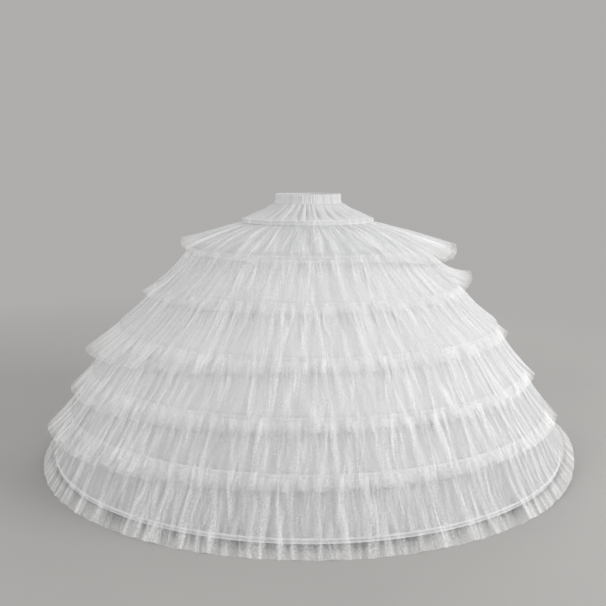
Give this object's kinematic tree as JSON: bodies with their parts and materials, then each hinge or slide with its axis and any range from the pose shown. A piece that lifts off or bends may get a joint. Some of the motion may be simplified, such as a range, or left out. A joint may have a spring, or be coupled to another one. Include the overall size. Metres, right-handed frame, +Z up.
{
  "type": "hooped petticoat",
  "caption": "Floor-length bell-shaped hooped petticoat: elastic waist, gathered yoke and tiers of sheer gathered net over an underskirt held out by flat steel hoops.",
  "frame": {"origin": "centre of the hem on the floor", "axes": "+Z up along the middle of the waist; -Y is the side that faces the picture's camera, and the hoop joiners are at +Y, the back"},
  "size_m": [1.6698, 1.6697, 0.801],
  "materials": {
    "net": "sheer gathered net",
    "lining": "plain woven lining",
    "band": "plain woven band",
    "tape": "woven tape",
    "elastic": "woven elastic",
    "steel": "flat spring steel",
    "joiner": "crimped sleeve"
  },
  "bodies": {
    "root": {"waistband": "band", "waist_elastic": "elastic", "yoke": "lining", "hem_binding": "tape", "underskirt_tier_1": "lining", "underskirt_tier_2": "lining", "underskirt_tier_3": "lining", "underskirt_tier_4": "lining", "underskirt_tier_5": "lining", "underskirt_tier_6": "lining", "hoop_1": "steel", "hoop_2": "steel", "hoop_3": "steel", "hoop_4": "steel", "hoop_5": "steel", "hoop_6": "steel", "hoop_joiner_1": "joiner", "hoop_joiner_2": "joiner", "hoop_joiner_3": "joiner", "hoop_joiner_4": "joiner", "hoop_joiner_5": "joiner", "hoop_joiner_6": "joiner", "hoop_casing_1": "tape", "hoop_casing_2": "tape", "hoop_casing_3": "tape", "hoop_casing_4": "tape", "hoop_casing_5": "tape", "hoop_casing_6": "tape", "heading_tape_1": "tape", "heading_tape_2": "tape", "heading_tape_3": "tape", "heading_tape_4": "tape", "heading_tape_5": "tape", "heading_tape_6": "tape", "frill_1": "net", "frill_2": "net", "frill_3": "net", "frill_4": "net", "frill_5": "net", "frill_6": "net"}
  },
  "joints": []
}
